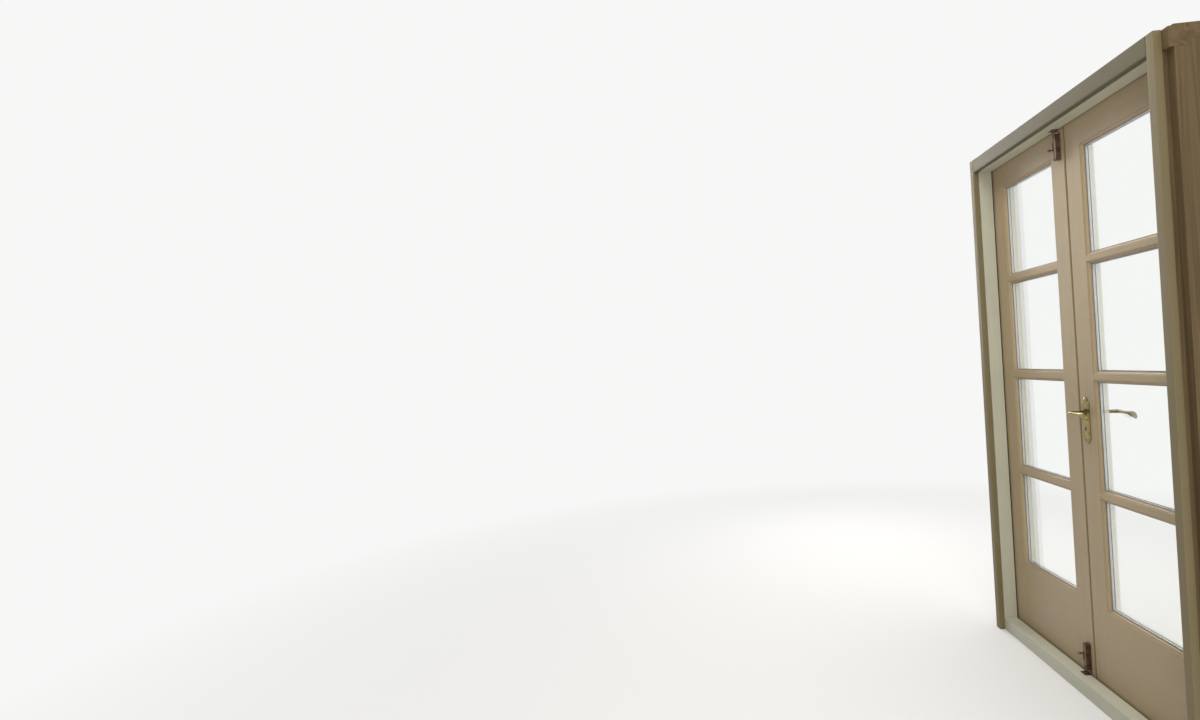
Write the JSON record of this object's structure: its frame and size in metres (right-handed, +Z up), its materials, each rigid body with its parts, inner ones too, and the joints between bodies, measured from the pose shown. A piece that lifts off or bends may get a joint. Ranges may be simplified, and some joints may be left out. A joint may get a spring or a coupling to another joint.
{
  "type": "pair of glazed french doors in their frame",
  "caption": "Outward-opening pair of glazed timber french doors with glazing bars, brass lever handle and bolt, hung in a painted frame with cill and architraves.",
  "frame": {"origin": "middle of the cill's flat underside, at the middle of the frame's depth and under the line where the leaves meet", "axes": "+X to the right as seen from the room, +Y outward through the wall, +Z up"},
  "size_m": [1.168, 0.177, 1.949],
  "materials": {
    "leaf_paint": "painted, satin",
    "frame_paint": "painted, satin",
    "architrave_paint": "painted, matt",
    "glass": "clear",
    "spacer_metal": "dull",
    "brass": "polished",
    "steel": "brushed"
  },
  "bodies": {
    "frame": {"head": "frame_paint", "left_jamb": "frame_paint", "right_jamb": "frame_paint", "cill": "frame_paint", "head_architrave": "architrave_paint", "left_architrave": "architrave_paint", "right_architrave": "architrave_paint", "left_frame_hinges": "brass", "right_frame_hinges": "brass", "left_hinge_pins": "steel", "right_hinge_pins": "steel", "head_keep": "brass", "cill_keep": "brass"},
    "left_leaf": {"left_hinge_stile": "leaf_paint", "left_meeting_stile": "leaf_paint", "left_top_rail": "leaf_paint", "left_bottom_rail": "leaf_paint", "left_glazing_bars": "leaf_paint", "left_glass": "glass", "left_spacers": "spacer_metal", "left_beads": "leaf_paint", "left_leaf_hinges": "brass", "strike_plate": "brass", "top_bolt_plate": "brass", "bottom_bolt_plate": "brass", "bottom_bolt_rod": "brass"},
    "right_leaf": {"right_hinge_stile": "leaf_paint", "right_meeting_stile": "leaf_paint", "right_top_rail": "leaf_paint", "right_bottom_rail": "leaf_paint", "right_glazing_bars": "leaf_paint", "right_glass": "glass", "right_spacers": "spacer_metal", "right_beads": "leaf_paint", "right_leaf_hinges": "brass", "mortice_lock": "steel", "inside_plate": "brass", "outside_plate": "brass"},
    "lever": {"inside_lever": "brass", "outside_lever": "brass", "spindle": "steel"},
    "top_bolt": {"top_bolt_rod": "brass"}
  },
  "joints": [
    {"name": "left_leaf_hinge", "type": "hinge", "parent": "frame", "child": "left_leaf", "pos_m": [-0.54, 0.056, 0.95], "axis": [0, 0, 1], "range_deg": [0, 165]},
    {"name": "right_leaf_hinge", "type": "hinge", "parent": "frame", "child": "right_leaf", "pos_m": [0.54, 0.056, 0.95], "axis": [0, 0, -1], "range_deg": [0, 165]},
    {"name": "lever_turn", "type": "hinge", "parent": "right_leaf", "child": "lever", "pos_m": [0.036, 0.025, 0.934], "axis": [0, 1, 0], "range_deg": [0, 40], "stiffness_Nm_per_rad": 1.6, "springref_deg": -20.05},
    {"name": "top_bolt_slide", "type": "slide", "parent": "left_leaf", "child": "top_bolt", "axis": [0, 0, 1], "range_m": [0, 0.0205]}
  ]
}
